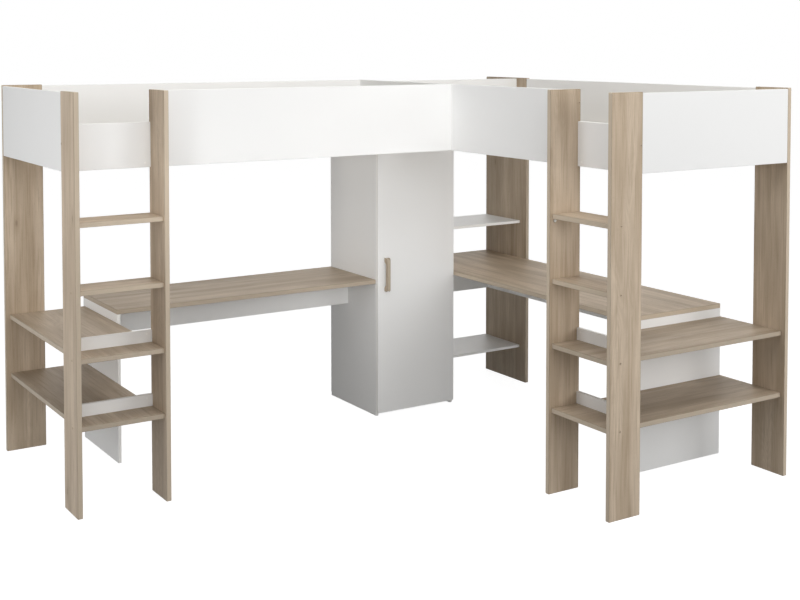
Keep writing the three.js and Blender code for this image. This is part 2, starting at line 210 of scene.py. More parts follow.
class Finish(Nodes):
    """A material in the making. Its constants go on the shader's own sockets."""

    def __init__(self, name, **constants):
        self.material = bpy.data.materials.new(name)
        self.material.use_nodes = True
        super().__init__(self.material.node_tree)
        self.shader = self.tree.nodes["Principled BSDF"]
        for socket, value in constants.items():
            self.shader.inputs[socket.replace("_", " ")].default_value = value

    def mix(self, share, first, second, blend="MIX"):
        """A colour that goes from first to second as share goes from 0 to 1."""
        settings = {"data_type": "RGBA", "blend_type": blend}
        return self.node("Mix", settings, {0: share, 6: first, 7: second}, 2)

    def shaded(self, colour, shade):
        """The colour times a value."""
        return self.mix(1, colour, shade, "MULTIPLY")

    def place(self, centre=(0, 0, 0)):
        """The point on the object, measured from centre."""
        point = self.node("TexCoord", output="Object")
        return self.node("Mapping", inputs={"Vector": point, "Location": [-c for c in centre]})

    def turned_to(self, axis):
        """The surface normal's part along an axis."""
        return self.split(self.node("TexCoord", output="Normal"))[axis]

    def noise(self, vector, scale, detail=2, shift=(0, 0, 0)):
        """Cloudy noise of scale patches per metre, one number for all axes or one for each."""
        scales = [scale] * 3 if np.isscalar(scale) else scale
        placed = {"Vector": vector, "Scale": scales, "Location": shift}
        inputs = {"Vector": self.node("Mapping", inputs=placed), "Scale": 1, "Detail": detail}
        return self.node("TexNoise", inputs=inputs)

    def coat(self, colour, roughness, height, strength, depth):
        """Links what varies over the surface to the shader, height through a bump of the strength
        and depth, and returns the material."""
        self.feed(self.shader.inputs["Base Color"], colour)
        self.feed(self.shader.inputs["Roughness"], roughness)
        lift = {"Height": height, "Strength": strength, "Distance": depth}
        self.feed(self.shader.inputs["Normal"], self.node("Bump", inputs=lift))
        return self.material


def board_axes(low, high):
    """Of a board's three axes: its thickness is the shortest, its length the longest."""
    return [int(axis) for axis in np.argsort(high - low)]


def drawn_out(grain, along, across):
    """Noise scales that draw a pattern out along the grain."""
    scales = [across] * 3
    scales[grain] = along
    return scales


class BoardFinish(Finish):
    """A board's material in the making, which knows the board's axes, its middle and half its size.
    The seed picks where in the pattern the board is cut from."""

    def __init__(self, name, low, high, seed, **constants):
        super().__init__(name, **constants)
        self.thickness, self.width, self.length = board_axes(low, high)
        self.half = ((high - low) / 2).tolist()
        self.shift = np.random.default_rng(seed).uniform(0, PATTERN_ROOM, 3).tolist()
        self.point = self.place((high + low) / 2)
        self.axes = self.split(self.point)

    def to_border(self, axis):
        """Distance to the nearer of the board's two borders across an axis."""
        return self.half[axis] - abs(self.axes[axis])

    def on_edge(self):
        """1 on the board's narrow edges and 0 on its two faces."""
        return 1 - abs(self.turned_to(self.thickness)).rise(*SIDE_TURN)

    def seam(self, edge, reach):
        """1 on a face where it meets an edge band, fading over the reach from the border."""
        border = self.to_border(self.length).smaller(self.to_border(self.width))
        return (1 - border.rise(*reach)) * (1 - edge)


def oak_finish(name, low, high, seed, shade=1):
    """Greyed oak print. Broad bands and flame lines (contours of a noise drawn out along the grain,
    taken through a sine), fine fibres, short pores and a few knots, with lighter banded edges. A
    dark line along the borders is the seam where the band meets the face and painted shade of the
    rounded edge."""
    board = BoardFinish(name, low, high, seed, Specular_IOR_Level=0.35)

    def pattern(kind):
        along, across, detail, order = OAK_PATTERNS[kind]
        scales = drawn_out(board.length, along, across)
        return board.noise(board.point, scales, detail, board.shift[::order])

    # Each rise cuts a noise between two of its values, so that only its patches are left
    bands = pattern("bands").rise(0.36, 0.64)
    cloud = pattern("cloud").rise(0.25, 0.75)
    flame = (pattern("flames") * OAK_FLAME_LINES).wave() * 0.5 + 0.5
    flame_zone = pattern("flame_zones").rise(0.45, 0.62)
    fibre = pattern("fibre")
    streak = pattern("streaks")
    pore = pattern("pores").rise(0.66, 0.74)

    spot = board.node("CombineXYZ", inputs={
        "X": board.axes[board.length] * OAK_KNOTS_ALONG + board.shift[0],
        "Y": board.axes[board.width] * OAK_KNOTS_ACROSS + board.shift[1],
    })
    flat = {"voronoi_dimensions": "2D"}
    cell = {"Vector": spot, "Scale": 1, "Randomness": 1}
    knot_gap = board.node("TexVoronoi", flat, cell)
    knot_there = board.split(board.node("TexVoronoi", flat, cell, "Color"))[0].rise(0.8, 0.82)
    knot = (1 - knot_gap.rise(0.01, 0.04)) * knot_there
    halo = (1 - knot_gap.rise(0.02, 0.13)) * knot_there

    colour = board.mix(bands, tone(OAK_DARK), tone(OAK_LIGHT))
    for share, darker in (
        (flame * flame_zone * 0.17, OAK_BROWN),
        ((1 - cloud) * 0.24, OAK_BROWN),
        (streak.rise(0.48, 0.7) * 0.38, OAK_BROWN),
        (halo * 0.35, OAK_BROWN),
        (knot * 0.4, OAK_KNOT),
        (pore * 0.4, OAK_PORE),
    ):
        colour = board.mix(share, colour, tone(darker))
    colour = board.shaded(colour, fibre * 0.3 + cloud * 0.05 + 0.84)

    edge = board.on_edge()
    banding = board.shaded(tone(OAK_EDGE), fibre * 0.2 + streak * 0.16 + 0.82)
    colour = board.mix(edge, colour, banding)
    # A darker line along every border, on the face and on the edge: the seam where the band meets
    # the face, and painted shade of the rounded edge
    arris_shade = (1 - board.to_border(board.thickness).rise(*OAK_ARRIS_SHADE)) * edge
    # shade scales the whole board's colour; for the boards in BOARD_PAINTED_LIGHT it is painted
    # light and shade
    colour = board.shaded(colour, shade - board.seam(edge, OAK_SEAM_SHADE) * 0.26 - arris_shade * 0.16)
    return board.coat(colour, 0.62 - fibre * 0.16, fibre * 0.6 - pore, 0.25, 0.15 * MM)


def shelf_holes(finish, rows, inner):
    """1 in the two rows of shelf holes on the face that looks to inner, 1 or -1 along X. The
    distance to the nearest hole is measured to the nearest whole pitch up each row."""
    axes = finish.split(finish.place())
    steps = ((axes[Z] - FIRST_HOLE) / HOLE_PITCH).rounded()
    up = axes[Z] - FIRST_HOLE - steps * HOLE_PITCH
    gaps = []
    for row in rows:
        aside = axes[Y] - row
        gaps.append((aside * aside + up * up).root())
    bottom, top = FIRST_HOLE - HOLE_PITCH / 2, LAST_HOLE + HOLE_PITCH / 2
    inside = axes[Z].rise(bottom, bottom + MM) * (1 - axes[Z].rise(top, top + MM))
    inner_face = (finish.turned_to(X) * inner).rise(*SIDE_TURN)
    return (1 - gaps[0].smaller(gaps[1]).rise(*HOLE_RIM)) * inside * inner_face


def white_finish(name, low, high, seed, holes=None):
    """White laminate: faint cloudiness, a fine pebbled grain, brighter banded edges and a hairline
    where the band meets the face. holes gives the rows and the inner face of a drilled board, whose
    holes are painted dark as their shade."""
    board = BoardFinish(name, low, high, seed, Specular_IOR_Level=0.4)
    cloud = board.noise(board.point, 3, shift=board.shift)
    pebble = board.noise(board.point, 1100, shift=board.shift)
    edge = board.on_edge()
    colour = board.mix(edge, tone(WHITE_FACE), tone(WHITE_EDGE))
    colour = board.shaded(colour, 1.006 - cloud * 0.012 - board.seam(edge, WHITE_SEAM) * 0.16)
    if holes:
        # The holes are painted dark: painted shade inside them
        colour = board.mix(shelf_holes(board, *holes), colour, tone(HOLE_SHADE))
    return board.coat(colour, 0.46 + cloud * 0.06 - edge * 0.08, pebble, 0.12, 0.08 * MM)


def pine_finish(name, grain, slats=None):
    """Planed pine: growth lines along the grain and small knots. slats gives the bed's length axis,
    the first slat's middle and the pitch; the tone then changes from slat to slat, picked by the
    whole number of pitches along the bed."""
    finish = Finish(name, Specular_IOR_Level=0.3)
    place = finish.place()
    growth = finish.noise(place, drawn_out(grain, 1.1, 9), 1)
    lines = (growth * PINE_GROWTH_LINES).wave() * 0.5 + 0.5
    fibre = finish.noise(place, drawn_out(grain, 9, 600), 3)
    colour = finish.mix(lines * 0.7, tone(PINE_LIGHT), tone(PINE_DARK))
    spot = finish.node("Mapping", inputs={"Vector": place, "Scale": drawn_out(grain, 3, 9)})
    knot_gap = finish.node("TexVoronoi", inputs={"Vector": spot, "Scale": 1})
    colour = finish.mix((1 - knot_gap.rise(0.06, 0.13)) * 0.8, colour, tone(PINE_KNOT))
    shade = fibre * 0.14 + 0.93
    if slats:
        length_axis, first, pitch = slats
        number = ((finish.split(place)[length_axis] - first) / pitch).rounded()
        pick = finish.node("TexWhiteNoise", {"noise_dimensions": "1D"}, {"W": number})
        shade = shade * (pick * 0.14 + 0.9)
    return finish.coat(finish.shaded(colour, shade), 0.7 - fibre * 0.1, fibre, 0.3, 0.2 * MM)


def metal_finish(name, colour, roughness, lines):
    """Plated metal with faint drawn lines and a cloudy sheen."""
    finish = Finish(name, Metallic=1)
    place = finish.place()
    drawn = finish.noise(place, lines)
    cloud = finish.noise(place, 60)
    colour = finish.shaded(tone(colour), drawn * 0.12 + 0.92)
    return finish.coat(colour, cloud * 0.12 + roughness, drawn, 0.08, 0.05 * MM)


def moulded_finish(name, colour, roughness=0.42):
    """Moulded plastic with a fine spark grain."""
    finish = Finish(name, Specular_IOR_Level=0.45)
    place = finish.place()
    grain = finish.noise(place, 2400)
    cloud = finish.noise(place, 90, 1)
    colour = finish.shaded(tone(colour), cloud * 0.06 + 0.97)
    return finish.coat(colour, grain * 0.1 + roughness - 0.05, grain, 0.15, 0.03 * MM)


def tape_finish(name, along, across):
    """Woven webbing: two sines at right angles, one per thread, lift every other crossing. The
    colour
    is darker where the weave is low: painted shade between the threads.
    """
    finish = Finish(name, Specular_IOR_Level=0.2)
    place = finish.place()
    axes = finish.split(place)
    warp = (axes[across] * (2 * math.pi / WARP_PITCH)).wave()
    weft = (axes[along] * (2 * math.pi / WEFT_PITCH)).wave()
    weave = warp * weft * 0.5 + 0.5
    fuzz = finish.noise(place, 900)
    # Darker where the weave is low: painted shade between the threads
    colour = finish.shaded(tone(TAPE_THREAD), weave * 0.22 + fuzz * 0.14 + 0.72)
    return finish.coat(colour, 0.8 + fuzz * 0.1, weave, 0.5, 0.4 * MM)


# Shapes: each is (points, faces)
SKIRT = 0.4 * MM  # how deep caps and heads go into what carries them
SMOOTH_BELOW = math.radians(40)  # flatter corners are shaded round
MERGE_BELOW = 1e-7

# Screw heads, as shares of the head's radius and rise
HEAD_RINGS = [1, 1, 0.96, 0.86, 0.7, 0.56, 0.4, 0.24, 0.1, 0]
HEAD_RIM = 0.15
CROSS_HALF_WIDTH = 0.11
CROSS_REACH = 0.62
CROSS_FADE = 0.08
CROSS_DEPTH = 0.8

# Caps, as shares of the cap's radius and rise
CAP_OUTER_RINGS = [1, 1, 0.97, 0.9, 0.78, 0.6]
CAP_RIM = 0.25
CAP_TURNS = 24

BAR_END_EASE = 0.6


def ring_faces(rows, columns):
    """Quads between the points of a grid, row by row; the last column joins the first."""
    row, column = np.meshgrid(np.arange(rows - 1), np.arange(columns), indexing="ij")
    right = (column + 1) % columns
    here, next_row = row * columns, (row + 1) * columns
    corners = [here + column, here + right, next_row + right, next_row + column]
    return np.stack(corners, -1).reshape(-1, 4)


def turned(profile, turns):
    """A profile of (radius, height) turned about +Z: x = r cos a, y = r sin a."""
    radius, height = np.array(profile, float).T[:, :, None]
    angle = np.arange(turns) * 2 * math.pi / turns
    flat = np.ones(turns)
    points = np.stack([radius * np.cos(angle), radius * np.sin(angle), height * flat], -1)
    return points.reshape(-1, 3), ring_faces(len(profile), turns)


def crossed_head(radius, rise, turns=32):
    """A screw head on +Z. Height is rise * (1 - (r / radius)^2) plus its rim, less the depth of a
    cross where the nearer of |x| and |y| is under the arm's half width. The underside lies below
    the surface."""
    share = np.array(HEAD_RINGS)[:, None]
    angle = (np.arange(turns) * 2 * math.pi / turns)[None, :]
    x, y = radius * share * np.cos(angle), radius * share * np.sin(angle)
    near = np.minimum(abs(x), abs(y))
    in_arm = np.clip(1.5 - near / (CROSS_HALF_WIDTH * radius), 0, 1)
    in_cross = in_arm * np.clip((CROSS_REACH - share) / CROSS_FADE, 0, 1)
    z = rise * (1 - share**2) + HEAD_RIM * rise - in_cross * rise * CROSS_DEPTH
    z[0] = -SKIRT
    points = np.stack([x, y, z], -1).reshape(-1, 3)
    return points, ring_faces(len(share), turns)


def cap(radius, rise, inner_rings, floor=None):
    """A low cap: height is rise * (1 - (r / radius)^3) plus its rim. A skirt goes into the board.
    Its last two rings lie flat at the floor where one is given."""
    share = np.array(CAP_OUTER_RINGS + inner_rings)
    height = rise * (1 - share**3) + CAP_RIM * rise
    height[0] = -SKIRT
    if floor is not None:
        height[-2:] = floor
    return turned(np.stack([radius * share, height], -1), CAP_TURNS)


def dome(radius, rise):
    """A cap that is closed and round on top."""
    return cap(radius, rise, [0.38, 0.16, 0])


def socket_cap(radius, rise):
    """A cap with a socket sunk in its middle, down to half of the rise."""
    return cap(radius, rise, [0.44, 0.4, 0], 0.5 * rise)


def bar(length, width, thickness, radius, arc):
    """A straight bar along +X with rounded long edges and eased ends. Its section is a rounded
    rectangle, |y| and |z| drawn in near each end by radius * (1 - sqrt(1 - t^2)), t from 1 to 0."""
    quarter = np.linspace(0, math.pi / 2, arc)
    corner = np.concatenate([quarter + turn * math.pi / 2 for turn in range(4)])
    sign_y = np.repeat([1, -1, -1, 1], arc)
    sign_z = np.repeat([1, 1, -1, -1], arc)
    inset = np.array([1, 0.6, 0.25, 0])
    draw = radius * BAR_END_EASE * (1 - np.sqrt(1 - inset**2))
    ends = length / 2 - radius * BAR_END_EASE * (1 - inset)
    station = np.concatenate([-ends, ends[::-1]])
    pull = np.concatenate([draw, draw[::-1]])
    y = sign_y * (width / 2 - radius) + radius * np.cos(corner)
    z = sign_z * (thickness / 2 - radius) + radius * np.sin(corner)
    shrink_y = 1 - pull[:, None] / (width / 2)
    shrink_z = 1 - pull[:, None] / (thickness / 2)
    flat = np.ones_like(y)
    points = np.stack([station[:, None] * flat, y * shrink_y, z * shrink_z], -1)
    return points.reshape(-1, 3), ring_faces(len(station), len(y))


def facing(axis, sign=1):
    """A turn whose rows are the piece's own x, y and z, with z level, along or against an axis."""
    z = np.zeros(3)
    z[axis] = sign
    x = np.cross((0, 0, 1), z)
    return np.stack([x, np.cross(z, x), z])


def points_at(axes, *values):
    """Points from their values, numbers or lists, along three axes in the order of axes."""
    columns = [np.ravel(column) for column in np.broadcast_arrays(*values)]
    points = np.empty((len(columns[0]), 3))
    points[:, axes] = np.stack(columns, -1)
    return points


def repeated(shape, places, turn):
    """Copies of one shape: each point is its place plus the shape's point turned."""
    points, faces = shape
    everywhere = (places[:, None, :] + (points @ turn)[None]).reshape(-1, 3)
    numbers = np.arange(len(places))[:, None, None] * len(points)
    return everywhere, (faces[None] + numbers).reshape(-1, faces.shape[1])


def joined(shapes):
    """Several shapes as one, their point numbers following on."""
    starts = np.cumsum([0] + [len(points) for points, _ in shapes[:-1]])
    return (
        np.concatenate([points for points, _ in shapes]),
        np.concatenate([faces + start for (_, faces), start in zip(shapes, starts)]),
    )


def piece(name, shape, material, body):
    """A mesh from points and faces, closed at its poles and ends, riding on a body."""
    points, faces = shape
    mesh = bpy.data.meshes.new(name)
    mesh.from_pydata(points.tolist(), [], faces.tolist())
    work = bmesh.new()
    work.from_mesh(mesh)
    bmesh.ops.remove_doubles(work, verts=work.verts, dist=MERGE_BELOW)
    bmesh.ops.holes_fill(work, edges=[e for e in work.edges if e.is_boundary])
    bmesh.ops.recalc_face_normals(work, faces=work.faces)
    work.to_mesh(mesh)
    work.free()
    mesh.materials.append(material)
    mesh.shade_smooth()
    mesh.set_sharp_from_angle(angle=SMOOTH_BELOW)
    made = bpy.data.objects.new(name, mesh)
    bpy.context.scene.collection.objects.link(made)
    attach(made, body)
    return made


# Boards
boxes = {name: [np.array(corner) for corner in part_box(name)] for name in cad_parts}
BEDS = (("a", X, Y), ("b", Y, X))  # each bed, the axis along it and the one across it
OAK_WORDS = ("post", "step", "desk_top", "door_handle")

# Painted light and shade: each board's colour is darkened or lightened by its factor, where it
# isn't 1, to stand in for the light that falls on it
BOARD_PAINTED_LIGHT = {
    "a_desk_top": 0.83,
    "a_step_shelf_1": 0.8,
    "a_step_shelf_2": 0.91,
    "b_step_shelf_1": 0.88,
    "b_step_shelf_2": 0.81,
    "a_back_post": 1.05,
    "b_ladder_post_outer": 1.06,
    "corner_post": 0.88,
}


def middle(name, axis=Z):
    """Half-way between a node's lowest and highest corners along an axis."""
    return (boxes[name][0][axis] + boxes[name][1][axis]) / 2


def hole_rows(side):
    """Where the two rows of shelf holes run on a side of the wardrobe, front and back."""
    low, high = boxes[side]
    return [low[Y] + HOLE_ROW_INSET, high[Y] - HOLE_ROW_INSET]


def board_material(name, seed):
    """The finish of a board by its name: oak, drilled white or plain white."""
    low, high = boxes[name]
    if any(word in name for word in OAK_WORDS):
        # The board's factor from BOARD_PAINTED_LIGHT is painted light and shade
        return oak_finish(name + "_oak", low, high, seed, BOARD_PAINTED_LIGHT.get(name, 1))
    holes = None
    if name.startswith("wardrobe_side"):
        holes = hole_rows(name), 1 if name.endswith("left") else -1
    return white_finish(name + "_white", low, high, seed, holes)


nickel = metal_finish("nickel", NICKEL, 0.22, [900, 40, 900])
zinc = metal_finish("zinc", ZINC, 0.3, 500)
for number, name in enumerate(sorted(boxes)):
    if name.endswith("slat_deck"):
        continue
    if name.startswith("hinge_") or name == "hanging_rail":
        material = nickel
    elif "slat_support" in name:
        material = pine_finish(name + "_pine", board_axes(*boxes[name])[-1])
    else:
        material = board_material(name, number)
    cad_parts[name].material_slots[0].material = material

# Slatted bases
SLAT_COUNT = 14
SLAT_WIDTH = 75 * MM
SLAT_THICKNESS = 18 * MM
SLAT_ROUND = 4 * MM
TAPE_WIDTH = 30 * MM
TAPE_THICKNESS = 1.5 * MM
TAPE_INSET = 140 * MM
TAPE_SAG = 2.5 * MM
TAPE_STATIONS = 240
STAPLE_CROWN = 10 * MM
STAPLE_WIDTH = 1.2 * MM
STAPLE_THICKNESS = 0.7 * MM
STAPLE_ROUND = 0.3 * MM
STAPLE_FROM_MIDDLE = 12 * MM
STAPLE_DROP = 0.2 * MM


def slatted_base(bed, length_axis, width_axis):
    """Slats at an even pitch, two tapes stapled under them that sag in the gaps, and their staples.
    A tape's drop is sag * (sin of its way across the gap)^2."""
    deck = f"{bed}_slat_deck"
    low, high = boxes[deck]
    top = high[Z]
    under = top - SLAT_THICKNESS
    first = low[length_axis] + SLAT_WIDTH / 2
    last = high[length_axis] - SLAT_WIDTH / 2
    pitch = (last - first) / (SLAT_COUNT - 1)
    centres = first + pitch * np.arange(SLAT_COUNT)
    slat_length = high[width_axis] - low[width_axis]
    across = np.eye(3) if width_axis == X else np.array([[0, 1, 0], [-1, 0, 0], [0, 0, 1]], float)

    def spots(along, aside, height):
        """Points at each place along the bed and each place across it."""
        return points_at((length_axis, width_axis, Z), *np.meshgrid(along, aside), height)

    slat = bar(slat_length, SLAT_WIDTH, SLAT_THICKNESS, SLAT_ROUND, 5)
    places = spots(centres, [middle(deck, width_axis)], top - SLAT_THICKNESS / 2)
    finish = pine_finish(f"{bed}_slat_pine", width_axis, (length_axis, first, pitch))
    made = piece(f"{bed}_slats", repeated(slat, places, across), finish, "carcass")
    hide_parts(deck)

    offset = slat_length / 2 - TAPE_INSET
    lines = [middle(deck, width_axis) - offset, middle(deck, width_axis) + offset]
    start, end = first - SLAT_WIDTH / 2 + MM, last + SLAT_WIDTH / 2 - MM
    reach = np.linspace(start, end, TAPE_STATIONS)
    way = np.clip(((reach - first - SLAT_WIDTH / 2) % pitch) / (pitch - SLAT_WIDTH), 0, 1)
    drop = TAPE_SAG * np.sin(way * math.pi) ** 2
    drop[reach > last] = 0
    half, thin = TAPE_WIDTH / 2, TAPE_THICKNESS / 2
    upper_side = [-half, -half + thin, half - thin, half]
    side = np.array(upper_side + upper_side[::-1])
    lift = np.array([thin, 2 * thin, 2 * thin, thin, thin, 0, 0, thin]) - 2 * thin
    bands = []
    for line in lines:
        band = np.zeros((len(reach), len(side), 3))
        band[:, :, length_axis] = reach[:, None]
        band[:, :, width_axis] = line + side[None, :]
        band[:, :, Z] = under - drop[:, None] + lift[None, :]
        bands.append((band.reshape(-1, 3), ring_faces(len(reach), len(side))))
    webbing = tape_finish(f"{bed}_webbing", length_axis, width_axis)
    piece(f"{bed}_slat_tapes", joined(bands), webbing, "carcass")

    staple = bar(STAPLE_CROWN, STAPLE_WIDTH, STAPLE_THICKNESS, STAPLE_ROUND, 2)
    rows = np.concatenate([centres - STAPLE_FROM_MIDDLE, centres + STAPLE_FROM_MIDDLE])
    staples = repeated(staple, spots(rows, lines, under - TAPE_THICKNESS - STAPLE_DROP), across)
    piece(f"{bed}_tape_staples", staples, zinc, "carcass")


for bed, along, aside in BEDS:
    slatted_base(bed, along, aside)

# Caps over the screws of the posts. Heights and insets follow the photograph.
CAP_RADIUS = 6 * MM
CAP_RISE = 2 * MM
CAP_BEHIND_FRONT = 44 * MM
CAP_EDGE_INSET = 30 * MM
ENTRY_CAP_HEIGHT = 1604 * MM
RAIL_CAP_HEIGHTS = [1771 * MM, 1538 * MM]
# Dark discs at the floor of each cap's socket: painted shade in the recess
SOCKET_SHADE_DISC = turned(np.array([[2.5, 0.6], [2.5, 1.2], [1.4, 1.15], [0, 1.1]]) * MM, 6)
STEP_NAMES = ("step_shelf_1", "step_shelf_2", "step_3", "step_4")
BACK_POSTS = (  # each post, the axis its caps look along and the boards that end on it
    ("a_back_post", Y, ("a_step_shelf_1", "a_step_shelf_2")),
    ("b_back_post", X, ("b_step_shelf_1", "b_step_shelf_2")),
    ("corner_post", X, ("corner_shelf_low", "corner_shelf_high", "b_desk_top")),
)


def ladder_caps(bed, along, aside):
    """Places and turns of the caps on a ladder's posts: one for each step on the faces that look
    away from the ladder, one more for the entry rail on the outer post, and one at the upper cap
    height of the rails on the inner post's face to the ladder."""
    outer, inner = (boxes[f"{bed}_ladder_post_{side}"] for side in ("outer", "inner"))
    rail_middle = middle(f"{bed}_entry_rail", aside)
    steps = [f"{bed}_{name}" for name in STEP_NAMES]
    step_caps = [(boxes[step][0][aside] + CAP_BEHIND_FRONT, middle(step)) for step in steps]
    for face, sign, caps in (
        (outer[0][along], -1, [*step_caps, (rail_middle, ENTRY_CAP_HEIGHT)]),
        (inner[1][along], 1, step_caps),
        (inner[0][along], -1, [(rail_middle, RAIL_CAP_HEIGHTS[0])]),
    ):
        yield points_at((along, aside, Z), face, *zip(*caps)), facing(along, sign)


def back_post_caps(name, out, boards):
    """Places and turn of a back post's caps: a pair at both cap heights of the rails, and a pair at
    each board that ends on it."""
    low, high = boxes[name]
    side = 1 - out
    ends = [low[side] + CAP_EDGE_INSET, high[side] - CAP_EDGE_INSET]
    heights = [*RAIL_CAP_HEIGHTS, *(middle(board) for board in boards)]
    grid = np.meshgrid(ends, heights, indexing="ij")
    return points_at((out, side, Z), high[out], *grid), facing(out)


cap_rows = [row for bed in BEDS for row in ladder_caps(*bed)]
cap_rows += [back_post_caps(*post) for post in BACK_POSTS]
brown_caps = [repeated(socket_cap(CAP_RADIUS, CAP_RISE), *row) for row in cap_rows]
socket_shade_pieces = [repeated(SOCKET_SHADE_DISC, *row) for row in cap_rows]
cap_brown = moulded_finish("cap_brown", CAP_BROWN)
piece("post_caps", joined(brown_caps), cap_brown, "carcass")

# White caps: one near the inner end of each lip and of each entry rail, and a tall one under the
# top step of bed b's ladder, in a brown ring of painted shade
LIP_CAP_INSET = 27 * MM
LIP_CAP_ABOVE_MIDDLE = 10 * MM
ENTRY_CAP_ABOVE_BOTTOM = 20 * MM
LIP_CAP = dome(5 * MM, 0.8 * MM)
STEP_CAP = dome(7 * MM, 7 * MM)
# A brown ring round the step cap: painted shade about it
STEP_CAP_SHADE_RING = turned(np.array([[8.9, -0.4], [8.9, 0.5], [8.4, 0.9], [5, 0.8], [0, 0.8]]) * MM, 24)
STEP_CAP_INSET = 29 * MM
STEP_CAP_HEIGHT = 1243 * MM

white_caps = []
for bed, along, aside in BEDS:
    for name in (f"{bed}_shelf_lip_1", f"{bed}_shelf_lip_2", f"{bed}_entry_rail"):
        low, high = boxes[name]
        height = middle(name) + LIP_CAP_ABOVE_MIDDLE
        if name.endswith("entry_rail"):
            height = low[Z] + ENTRY_CAP_ABOVE_BOTTOM
        place = points_at((along, aside, Z), high[along] - LIP_CAP_INSET, low[aside], height)
        white_caps.append(repeated(LIP_CAP, place, facing(aside, -1)))
post_low = boxes["b_ladder_post_inner"][0]
step_cap_place = points_at((X, Y, Z), post_low[X] + STEP_CAP_INSET, post_low[Y], STEP_CAP_HEIGHT)
white_caps.append(repeated(STEP_CAP, step_cap_place, facing(Y, -1)))
socket_shade_pieces.append(repeated(STEP_CAP_SHADE_RING, step_cap_place, facing(Y, -1)))
cap_white = moulded_finish("cap_white", CAP_WHITE)
piece("board_caps", joined(white_caps), cap_white, "carcass")
# Socket floors and the step cap's ring in a dark moulded finish: painted shade
socket_shade_finish = moulded_finish("socket_shade_finish", CAP_SOCKET_SHADE, 0.6)
piece("socket_shade_pieces", joined(socket_shade_pieces), socket_shade_finish, "carcass")

# Screws through the slat supports into the rails
SUPPORT_SCREWS = 6
SUPPORT_SCREW_INSET = 90 * MM
SUPPORT_SCREW = crossed_head(4.5 * MM, 1 * MM)

screws = []
for bed, along, aside in BEDS:
    for side, sign, face in (("front", 1, 1), ("back", -1, 0)):
        name = f"{bed}_slat_support_{side}"
        start = boxes[name][0][along] + SUPPORT_SCREW_INSET
        end = boxes[name][1][along] - SUPPORT_SCREW_INSET
        stations = np.linspace(start, end, SUPPORT_SCREWS)
        places = points_at((along, aside, Z), stations, boxes[name][face][aside], middle(name))
        screws.append(repeated(SUPPORT_SCREW, places, facing(aside, sign)))
piece("support_screws", joined(screws), zinc, "carcass")

# Inside the wardrobe: pins under the shelf, screws of the hanging rail's sockets
PIN_PROFILE = [
    [0, -1], [2.5, -1], [2.5, 0], [4, 0], [4, 1], [2.4, 1.4], [2.4, 9], [2, 9.5], [0, 9.5],
]
PIN = turned(np.array(PIN_PROFILE) * MM, 16)
PIN_BELOW_SHELF = 2.4 * MM
SOCKET_FLANGE = 3 * MM
SOCKET_SCREW_REACH = 17.6 * MM
SOCKET_SCREW = crossed_head(1.9 * MM, 0.6 * MM, 16)

left_face = boxes["wardrobe_side_left"][1][X]
right_face = boxes["wardrobe_side_right"][0][X]
shelf_bottom = boxes["wardrobe_shelf"][0][Z]
rows = hole_rows("wardrobe_side_left")
pins = []
for face, sign in ((left_face, 1), (right_face, -1)):
    places = points_at((X, Y, Z), face, rows, shelf_bottom - PIN_BELOW_SHELF)
    pins.append(repeated(PIN, places, facing(X, sign)))
piece("shelf_pins", joined(pins), nickel, "carcass")

rail_low, rail_high = boxes["hanging_rail"]
reach = np.array([-1, 1]) * SOCKET_SCREW_REACH
socket_screws = []
for face, sign in ((rail_low[X] + SOCKET_FLANGE, 1), (rail_high[X] - SOCKET_FLANGE, -1)):
    places = points_at((X, Y, Z), face, middle("hanging_rail", Y) + reach, middle("hanging_rail"))
    socket_screws.append(repeated(SOCKET_SCREW, places, facing(X, sign)))
piece("rail_socket_screws", joined(socket_screws), zinc, "carcass")

# Nails round the wardrobe's back and along its shelf
NAIL_INSET = 8 * MM
NAILS_UP = 11
NAILS_ACROSS = 5
NAIL = turned(np.array([[2.2, -0.4], [2.2, 0.3], [1.6, 0.6], [0, 0.7]]) * MM, 10)

low, high = boxes["wardrobe_back"]
columns = low[X] + NAIL_INSET, high[X] - NAIL_INSET
rows = low[Z] + NAIL_INSET, high[Z] - NAIL_INSET
nails = [(x, high[Y], z) for x in columns for z in np.linspace(*rows, NAILS_UP)]
nails += [
    (x, high[Y], z)
    for z in (*rows, shelf_bottom + NAIL_INSET)
    for x in np.linspace(*columns, NAILS_ACROSS)[1:-1]
]
back_nails = repeated(NAIL, np.array(nails), facing(Y))
piece("back_nails", back_nails, zinc, "carcass")

# Door: bumpers on its inner face near the handle's side
BUMPER = dome(4 * MM, 1.3 * MM)
BUMPER_INSET = 9 * MM
BUMPER_FROM_END = 60 * MM

door_low, door_high = boxes["wardrobe_door"]
heights = [door_low[Z] + BUMPER_FROM_END, door_high[Z] - BUMPER_FROM_END]
places = points_at((X, Y, Z), door_low[X] + BUMPER_INSET, door_high[Y], heights)
rubber = moulded_finish("bumper_rubber", RUBBER, 0.35)
piece("door_bumpers", repeated(BUMPER, places, facing(Y)), rubber, "door")

# Bridge handle: straight ends, a flat front with round corners, and legs whose inner sides rise in
# a smooth step to the grip
HANDLE_GRIP = 9 * MM  # from the front to the finger gap
HANDLE_LEG = 13 * MM  # from the end, at the door
HANDLE_SLOPE = 34 * MM  # from the end, where the leg has become the grip
HANDLE_CORNER = 10 * MM
HANDLE_EASE = 2 * MM
HANDLE_SEED = 97
HANDLE_SHADE = 0.86


